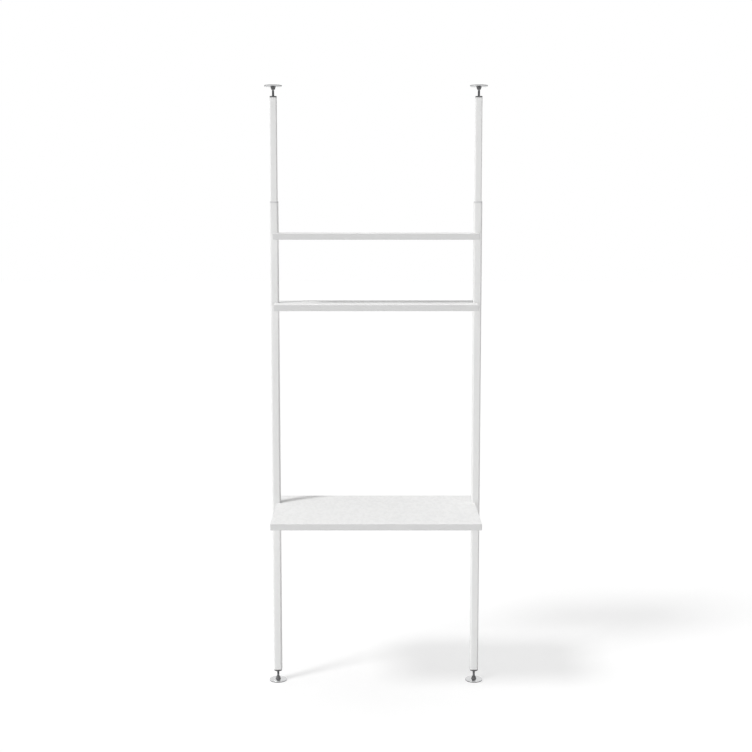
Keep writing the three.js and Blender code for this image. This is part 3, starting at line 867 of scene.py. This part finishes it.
def make_stud(foot, place):
    """The ball stud: a ball, a neck and a cut thread up to a chamfered end."""
    node = foot + "_ball_stud"
    top = heights(node)[1]
    ball = ball_height(foot)
    neck = math.degrees(math.acos(NECK_RADIUS / BALL_RADIUS))
    start = ball + NECK_LENGTH
    root = STUD_RADIUS - STUD_THREAD_DEPTH
    end = top - STUD_CHAMFER
    plain = arc(0, ball, BALL_RADIUS, -90, neck)
    plain += [(NECK_RADIUS, start - EASE), (NECK_RADIUS + EASE, start), (root, start)]
    loops = circles(plain, ROD_COUNT)
    loops += thread(STUD_RADIUS, STUD_THREAD_DEPTH, STUD_PITCH, start + STUD_RUN_IN, end)
    loops += circles([(STUD_RADIUS - STUD_CHAMFER, top), (0, top)], ROD_COUNT)
    dress(node, foot + "_threaded_stud", loops, dark_zinc, place)


def make_nut(foot, place):
    """The jack nut: a thin wheel with a scalloped rim and eased edges."""
    node = foot + "_jack_nut"
    low, high = heights(node)
    radius = half_depth(node)
    bore = NUT_BORE_RADIUS
    grip = NUT_GRIP_DEPTH
    edge = BROAD_EASE
    corner = edge * NUT_EDGE_ROUND
    flat = radius - grip - 2 * edge
    rows = [
        (bore + edge, low, 0), (flat, low, 0), (radius - edge, low, grip),
        (radius - corner, low + corner, grip), (radius, low + edge, grip),
        (radius, high - edge, grip), (radius - corner, high - corner, grip),
        (radius - edge, high, grip), (flat, high, 0), (bore + edge, high, 0),
        (bore, high - edge, 0), (bore, low + edge, 0),
    ]
    count = NUT_GRIP_COUNT * NUT_GRIP_STEPS
    loops = [circle(reach, height, count, ripple, NUT_GRIP_COUNT) for reach, height, ripple in rows]
    dress(node, foot + "_scalloped_nut", loops, dark_plastic, place, ring=True)


# Screws

def hexagon(width, height, count):
    """A hexagon across flats, with points spread evenly in angle."""
    part = math.pi / 3

    def reach_at(angle):
        return width / 2 / math.cos((angle + part / 2) % part - part / 2)

    return turned(reach_at, height, count)


def cross_loop(reach, waist, height, count):
    """A cross recess: four narrow arms round a small core."""

    def reach_at(angle):
        return waist + (reach - waist) * abs(math.cos(2 * angle)) ** CROSS_SHARPNESS

    return turned(reach_at, height, count)


def socket_screw(name, length):
    """A cap screw with a hexagon socket, its head on height zero and its shank pointing down."""
    count = SMALL_COUNT
    shank = CLAMP_SCREW_RADIUS
    head = CLAMP_HEAD_RADIUS
    top = CLAMP_HEAD_HEIGHT
    floor = top - CLAMP_KEY_DEPTH
    round_off = BROAD_EASE * CLAMP_HEAD_ROUND
    start = -length + LIGHT_EASE
    loops = circles([(0, -length), (shank - CLAMP_TIP_CHAMFER, -length)], count)
    loops += thread(shank, CLAMP_THREAD_DEPTH, CLAMP_SCREW_PITCH, start, -EASE, count)
    loops += circles([
        (shank, 0), (head - FINE_EASE, 0), (head, FINE_EASE), (head, top / 2),
        (head - round_off, top / 2 + BROAD_EASE), (head - top / 2 + BROAD_EASE, top - round_off),
        (head - top / 2, top),
    ], count)
    loops += [
        hexagon(CLAMP_KEY_WIDTH + LIGHT_EASE, top, count),
        hexagon(CLAMP_KEY_WIDTH, top - FINE_EASE, count),
        hexagon(CLAMP_KEY_WIDTH, floor, count),
        circle(0, floor - EASE, count),
    ]
    return coated(skin(name, loops), zinc_plate)


def make_socket_screw(node, direction):
    """Puts a cap screw where the CAD has one, with its head at the far end of that direction."""
    low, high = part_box(node)
    ahead = Vector(direction)
    span = abs((high - low).dot(ahead))
    seat = middle(node) + ahead * (span / 2 - CLAMP_HEAD_HEIGHT)
    screw = socket_screw(node.replace("_screw", "_socket_screw"), span - CLAMP_HEAD_HEIGHT)
    turn = Vector((0, 0, 1)).rotation_difference(ahead).to_matrix().to_4x4()
    stand_for(moved(screw, at(*seat) @ turn), node)


def wood_screw(name):
    """A countersunk screw pointing up, with its head flush at height zero and a cross recess."""
    count = WOOD_SCREW_COUNT
    shank = WOOD_SCREW_RADIUS
    head = WOOD_HEAD_RADIUS
    cross = head * CROSS_SHARE
    tip = WOOD_SCREW_LENGTH - WOOD_TIP_PLAY
    start = WOOD_HEAD_DEPTH + WOOD_RUN_IN
    end = tip - WOOD_RUN_OUT
    loops = [circle(0, CROSS_DEPTH, count)]
    for share, waist, height in CROSS_ROWS:
        loops.append(cross_loop(cross * share, waist, height, count))
    loops += circles([
        (head - WOOD_HEAD_LAND, 0), (head, FINE_EASE), (shank * WOOD_NECK_SHARE, WOOD_HEAD_DEPTH),
    ], count)
    loops += thread(shank, WOOD_THREAD_DEPTH, WOOD_SCREW_PITCH, start, end, count)
    loops += circles([(shank * WOOD_TAPER_SHARE, tip - WOOD_TAPER_LENGTH), (0, tip)], count)
    return coated(skin(name, loops), zinc_plate)


def wood_hole(place, material):
    """The countersunk room of a wood screw, pointing up from a place, with an eased mouth."""
    head = WOOD_HEAD_RADIUS + WOOD_HOLE_PLAY
    shank = WOOD_SCREW_RADIUS + WOOD_HOLE_PLAY
    mouth = head + LIGHT_EASE
    profile = [
        (0, -MM), (mouth, -MM), (mouth, -WOOD_HOLE_LIP), (head, WOOD_HOLE_SINK),
        (shank, WOOD_HEAD_DEPTH + WOOD_HOLE_SINK), (shank, WOOD_SCREW_LENGTH),
        (0, WOOD_SCREW_LENGTH),
    ]
    return moved(drilled(profile, material), at(*place))


def screw_places(board, side):
    """Where the wood screws of one bracket stand, under its flange."""
    low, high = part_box(f"{board}_{side}_bracket")
    pole = pole_x(side)
    reach = (high.x if side == "left" else low.x) - pole
    inner = math.copysign(half_depth(side + "_lower_pole"), reach)
    shares = DESK_SCREW_SHARES if board == "desk" else SHELF_SCREW_SHARES
    below = high.z - DESK_BRACKET_STEEL if board == "desk" else low.z
    return [
        Vector((pole + inner + (reach - inner) * across, low.y + (high.y - low.y) * along, below))
        for along in shares
        for across in WOOD_SCREW_ROW_SHARES
    ]


# Brackets

def angle_section(reach, depth, steel, face):
    """An L section from the pole face: a flange along +X at height zero and a leg up to a depth."""
    bend = min(BEND_RADIUS, max(depth - steel, 0.0))
    edge = BRACKET_EDGE
    return rounded([
        (reach, 0, edge), (face, 0, bend + edge), (face, depth, edge), (face + steel, depth, edge),
        (face + steel, steel, bend), (reach, steel, edge),
    ])


def bend_shares():
    """Sines of even steps up to a right angle."""
    return [math.sin(math.pi / 2 * step / BEND_STEPS) for step in range(BEND_STEPS + 1)]


def rounding(radius, near):
    """How far a rounded corner draws an edge in, at a distance from the end."""
    short = max(radius - near, 0.0)
    return radius - math.sqrt(max(radius**2 - short**2, 0.0))


def bracket_span(node, side):
    """Where a bracket starts and ends, measured from its pole's axis."""
    pole = pole_x(side)
    return sorted(abs(corner.x - pole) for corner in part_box(node))


def bracket_loops(node, side, steel, stations, depth):
    """L sections along Y, with rounded corners on the flange and a depth of leg for each Y."""
    low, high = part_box(node)
    face, reach = bracket_span(node, side)
    corner = [BRACKET_CORNER * (1 - share) for share in bend_shares()[::-1]]
    places = [low.y + step for step in corner] + stations + [high.y - step for step in corner]
    loops = []
    for y in sorted(places):
        trim = rounding(BRACKET_CORNER, min(y - low.y, high.y - y))
        section = angle_section(reach - trim, depth(y), steel, face)
        loops.append([Vector((point.x, y, point.y)) for point in section])
    return loops


def make_shelf_bracket(board, side):
    """A plate under the shelf with a tab bent up against the pole."""
    node = f"{board}_{side}_bracket"
    low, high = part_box(node)
    corner = SHELF_TAB_CORNER
    edge = SHELF_TAB_HALF

    def depth(y):
        beyond = max(abs(y) - (edge - corner), 0.0)
        if beyond > corner:
            return SHELF_BRACKET_STEEL
        return high.z - low.z - corner + math.sqrt(max(corner**2 - beyond**2, 0.0))

    curve = [edge - corner + corner * share for share in bend_shares()]
    outside = edge + SHELF_TAB_STEP
    stations = [-outside, *[-y for y in curve], *curve, outside]
    loops = bracket_loops(node, side, SHELF_BRACKET_STEEL, stations, depth)
    finish_bracket(skin(f"{board}_{side}_let_in_bracket", loops), board, side, low.z)


def make_desk_bracket(board, side):
    """A plate under the desk with a deep tapered web bent down beside the pole."""
    node = f"{board}_{side}_bracket"
    low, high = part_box(node)
    flat = 2 * half_depth(side + "_lower_pole")

    def depth(y):
        end = abs(low.y if y < 0 else high.y)
        near = end - abs(y)
        share = min(max(near / (end - flat), 0.0), 1.0)
        straight = DESK_WEB_TIP + (high.z - low.z - DESK_WEB_TIP) * share
        return straight - rounding(BRACKET_CORNER, near)

    loops = bracket_loops(node, side, DESK_BRACKET_STEEL, [-flat, flat], depth)
    bracket = skin(f"{board}_{side}_web_bracket", loops)
    moved(bracket, Matrix.Scale(-1, 4, (0, 0, 1)))
    finish_bracket(bracket, board, side, high.z)


def finish_bracket(bracket, board, side, height):
    """Puts a bracket beside its pole, cuts its screw holes and puts it in its CAD node's place."""
    toward = Matrix.Scale(-SIDES[side], 4, (1, 0, 0))
    moved(coated(bracket, bracket_coat), at(pole_x(side), 0, height) @ toward)
    holes = [wood_hole(place, bracket_coat) for place in screw_places(board, side)]
    radius = CLAMP_HOLE_RADIUS
    half = CLAMP_HOLE_HALF
    clear = drilled([(0, -half), (radius, -half), (radius, half), (0, half)], bracket_coat)
    moved(clear, at(*middle(f"{board}_{side}_clamp_screw"), 90, "Y"))
    combine(bracket, "DIFFERENCE", [*holes, clear])
    stand_for(bracket, f"{board}_{side}_bracket")


# Boards

def mirrored(points):
    return [Vector((-point.x, point.y)) for point in points][::-1]


def corner_arc(x, y, radius, low, high):
    """The arc of a board's corner, as vectors."""
    return [Vector(point) for point in arc(x, y, radius, low, high, CORNER_STEPS)]


def notch_half():
    """Half of the room that a board leaves for a pole along Y."""
    return half_depth("left_lower_pole") + NOTCH_GAP


def front_path(box, inset):
    """The board's front edge from the left pole to the right one, drawn in by an inset."""
    low, high = box
    x = high.x - BOARD_CORNER
    right = corner_arc(x, low.y + BOARD_CORNER, BOARD_CORNER - inset, -90, 0)
    right.append(Vector((high.x - inset, -notch_half())))
    return mirrored(right) + right


def rear_path(box, inset):
    """The board's rear edge from the right pole to the left one, drawn in by an inset."""
    high = box[1]
    x = high.x - BOARD_CORNER
    right = [Vector((high.x - inset, notch_half()))]
    right += corner_arc(x, high.y - BOARD_CORNER, BOARD_CORNER - inset, 0, 90)
    return right + mirrored(right)


def notch_path(inset):
    """The notch round the right-hand pole, from its front lip to its rear lip."""
    half = notch_half()
    corner = LOWER_CORNER + NOTCH_GAP
    floor = pole_x("right") - half + corner
    front = corner_arc(floor, corner - half, corner + inset, -90, -180)
    rear = corner_arc(floor, half - corner, corner + inset, 180, 90)
    return front + rear


def panel_outline(box, inset):
    """Outline of the panel inside its edge bands."""
    right = notch_path(inset)
    depth = BAND_THICKNESS + inset
    front = front_path(box, depth)
    rear = rear_path(box, depth)
    for end in (0, -1):
        front[end].y -= inset
        rear[end].y += inset
    return front + right + rear + mirrored(right)


def make_band(board, box, path, name):
    """A plastic band glued on the panel's edge, with rounded outer edges."""
    low, high = box
    section = arc(BAND_EDGE, low.z + BAND_EDGE, BAND_EDGE, -90, -180, BAND_STEPS)
    section += [(inset, low.z + high.z - height) for inset, height in section[::-1]]
    section = [(BAND_THICKNESS, low.z), *section, (BAND_THICKNESS, high.z)]
    edges = [lifted(path(box, inset), height) for inset, height in section]
    band = coated(skin(f"{board}_{name}_band", list(zip(*edges))), band_plastic)
    add_to(band, BODY_OF[board + "_board"])


def pocket(low, high, corner, floor, top):
    """The routed room between two corners of a rectangle."""
    loops = [rectangle(low, high, corner, height) for height in (floor, top)]
    return coated(skin("pocket", loops), raw_board)


def shelf_pockets(board, side):
    """Rooms in a shelf's underside for the bracket's plate, its tab and the clamp screw's head."""
    node = f"{board}_{side}_bracket"
    low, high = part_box(node)
    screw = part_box(f"{board}_{side}_clamp_screw")
    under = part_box(board + "_board")[0].z
    pole = pole_x(side)
    sign = -SIDES[side]
    face = pole + sign * half_depth(side + "_lower_pole")
    far = pole + sign * (bracket_span(node, side)[1] + POCKET_GAP)
    head = (screw[1].x if side == "left" else screw[0].x) + sign * POCKET_GAP
    plate = ((min(face, far), low.y - POCKET_GAP), (max(face, far), high.y + POCKET_GAP))
    tab_half = SHELF_TAB_HALF + POCKET_GAP
    tab = ((min(face, head), -tab_half), (max(face, head), tab_half))
    below = under - HEAD_ROOM
    plate_top = under + SHELF_BRACKET_STEEL + POCKET_ROOM
    return [
        pocket(*plate, BRACKET_CORNER + POCKET_GAP, below, plate_top),
        pocket(*tab, TAB_POCKET_CORNER, below - MM, under + TAB_POCKET_TOP),
    ]


def make_board(board):
    """A foil-faced panel with bands on its edges and holes for screws in its underside."""
    node = board + "_board"
    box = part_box(node)
    loops = upright(box, PANEL_EDGE, lambda inset: panel_outline(box, inset))
    panel = coated(skin(board + "_panel", loops), foil, raw_board)
    tools = []
    for side in SIDES:
        if board != "desk":
            tools += shelf_pockets(board, side)
        tools += [wood_hole(place, raw_board) for place in screw_places(board, side)]
    combine(panel, "DIFFERENCE", tools)
    stand_for(panel, node)
    make_band(board, box, front_path, "front")
    make_band(board, box, rear_path, "rear")


def make_wood_screws(board, side):
    body = BODY_OF[board + "_board"]
    for number, place in enumerate(screw_places(board, side), start=1):
        screw = wood_screw(f"{board}_{side}_wood_screw_{number}")
        add_to(moved(screw, at(*place)), body)


def dress_plain_nodes():
    """Gives the CAD solids that stay in view their finishes."""
    for name, piece in frame["nodes"].items():
        material = {"nylon": nylon, "zinc_steel": zinc_plate}.get(SLOT_OF[name])
        if material and not piece.hide_render:
            piece.data.materials.clear()
            coated(piece, material)


# Room, light and camera

FLOOR_SIZE = 60.0
FLOOR_DROP = 0.1 * MM
FLOOR_COLOUR = (0.86, 0.86, 0.86, 1)
FLOOR_GLOW_SHARE = 0.5
FLOOR_GLOW_STRENGTH = 1.2
BACKDROP_STRENGTH = 1.0
AMBIENT_FROM = (-0.70, -0.62, -0.35)
AMBIENT_BRIGHT = 0.60
AMBIENT_DIM = 0.05
KEY = ((-0.68, -0.51, 1.0), 1.8, math.radians(13))
POLE_BODIES = ("poles", "left_upper_pole", "right_upper_pole")
SOFTBOX_ANGLE = math.radians(60)
SOFTBOXES = {
    "left_softbox": ((-1.0, -0.1, 0.12), 0.45, SOFTBOX_ANGLE),
    "top_softbox": ((0.0, 0.0, 1.0), 0.75, SOFTBOX_ANGLE),
}

EYE = (0, -5.3676, 2.010)
EYE_PITCH = math.radians(6.63)
PHOTO_SIZE = 752
FOCAL_PIXELS = 1300
SHIFT_PIXELS = 18
SENSOR_WIDTH = 36


def make_floor():
    """A pale floor that keeps the shadow, shows white to the camera and is clear from below."""
    mesh = bpy.data.meshes.new("floor")
    half = FLOOR_SIZE / 2
    corners = [(-half, -half), (half, -half), (half, half), (-half, half)]
    mesh.from_pydata([(x, y, -FLOOR_DROP) for x, y in corners], [], [(0, 1, 2, 3)])
    floor = added("floor", mesh)
    material = bpy.data.materials.new("pale_floor")
    nodes = NodeTree(material)
    nodes.tree.nodes.clear()
    matt = nodes.node("BsdfDiffuse", {"Color": FLOOR_COLOUR}).outputs[0]
    glow = nodes.node("Emission", {"Strength": FLOOR_GLOW_STRENGTH}).outputs[0]
    clear = nodes.node("BsdfTransparent").outputs[0]
    seen = nodes.node("LightPath").outputs["Is Camera Ray"]
    below = nodes.node("NewGeometry").outputs["Backfacing"]
    whitened = nodes.mixed(nodes.math("MULTIPLY", seen, FLOOR_GLOW_SHARE), matt, glow)
    nodes.node("OutputMaterial", {"Surface": nodes.mixed(below, whitened, clear)})
    coated(floor, material)


def make_world():
    """Light from all round, most of it from the front left, and a white backdrop."""
    world = bpy.data.worlds.new("studio")
    bpy.context.scene.world = world
    nodes = NodeTree(world)
    nodes.tree.nodes.clear()
    values = {0: nodes.node("TexCoord").outputs["Generated"], 1: AMBIENT_FROM}
    along = nodes.node("VectorMath", values, operation="DOT_PRODUCT").outputs["Value"]
    strength = nodes.range(along, -1, 1, AMBIENT_DIM, AMBIENT_BRIGHT)
    ambient, white = (
        nodes.node("Background", {"Color": (1, 1, 1, 1), "Strength": value}).outputs[0]
        for value in (strength, BACKDROP_STRENGTH)
    )
    path = nodes.node("LightPath")
    seen = path.outputs["Is Camera Ray"]
    for name in ("Is Glossy Ray", "Is Transmission Ray"):
        seen = nodes.math("MAXIMUM", seen, path.outputs[name])
    nodes.node("OutputWorld", {"Surface": nodes.mixed(seen, ambient, white)})


def make_sun(name, direction, strength, angle):
    """A distant lamp that shines from a direction, with soft-edged shadows."""
    lamp = bpy.data.lights.new(name, "SUN")
    lamp.energy = strength
    lamp.angle = angle
    sun = added(name, lamp)
    sun.rotation_mode = "QUATERNION"
    sun.rotation_quaternion = Vector(direction).to_track_quat("Z", "Y")
    return sun


def pieces_on(bodies, name, state):
    """A lamp's list of the pieces on some bodies: the only ones to INCLUDE, or those to EXCLUDE."""
    listed = bpy.data.collections.new(name)
    for body in bodies:
        for piece in RIDERS[body]:
            listed.objects.link(piece)
    for entry in listed.collection_objects:
        entry.light_linking.link_state = state
    return listed


def make_key():
    """The key light in two lamps: in the photograph the boards throw no shadow on the poles."""
    for_others = make_sun("key", *KEY).light_linking
    for_others.receiver_collection = pieces_on(POLE_BODIES, "left_to_pole_key", "EXCLUDE")
    for_poles = make_sun("pole_key", *KEY).light_linking
    for_poles.receiver_collection = pieces_on(POLE_BODIES, "lit_by_pole_key", "INCLUDE")
    for_poles.blocker_collection = pieces_on(BOARDS, "clear_to_pole_key", "EXCLUDE")


def make_camera():
    """A camera at the photograph's eye, tilted down, with its window moved a little too."""
    lens = bpy.data.cameras.new("camera")
    lens.sensor_width = SENSOR_WIDTH
    lens.lens = SENSOR_WIDTH * FOCAL_PIXELS / PHOTO_SIZE
    lens.shift_y = -SHIFT_PIXELS / PHOTO_SIZE
    camera = added("camera", lens)
    camera.location = EYE
    camera.rotation_euler = (math.pi / 2 - EYE_PITCH, 0, 0)
    bpy.context.scene.camera = camera


# Assembly

make_camera()
for side_name in SIDES:
    make_lower_pole(side_name)
    make_upper_pole(side_name)
    make_collar(side_name)
    for level_name in ("lower", "upper"):
        make_end_plug(side_name, level_name)
    make_socket_screw(side_name + "_lock_screw", (0, 1, 0))
    for level_name in ("floor", "ceiling"):
        foot_name = f"{side_name}_{level_name}"
        for make in (make_pad, make_disc, make_hub, make_cup, make_stud, make_nut):
            make(foot_name, footing(foot_name))
for board_name in BOARDS:
    make_board(board_name)
    for side_name, sign in SIDES.items():
        make_bracket = make_desk_bracket if board_name == "desk" else make_shelf_bracket
        make_bracket(board_name, side_name)
        make_socket_screw(f"{board_name}_{side_name}_clamp_screw", (-sign, 0, 0))
        make_wood_screws(board_name, side_name)
dress_plain_nodes()

make_floor()
make_world()
make_key()
for lamp_name, (direction, strength, angle) in SOFTBOXES.items():
    make_sun(lamp_name, direction, strength, angle)
bpy.context.scene.view_settings.view_transform = "Standard"
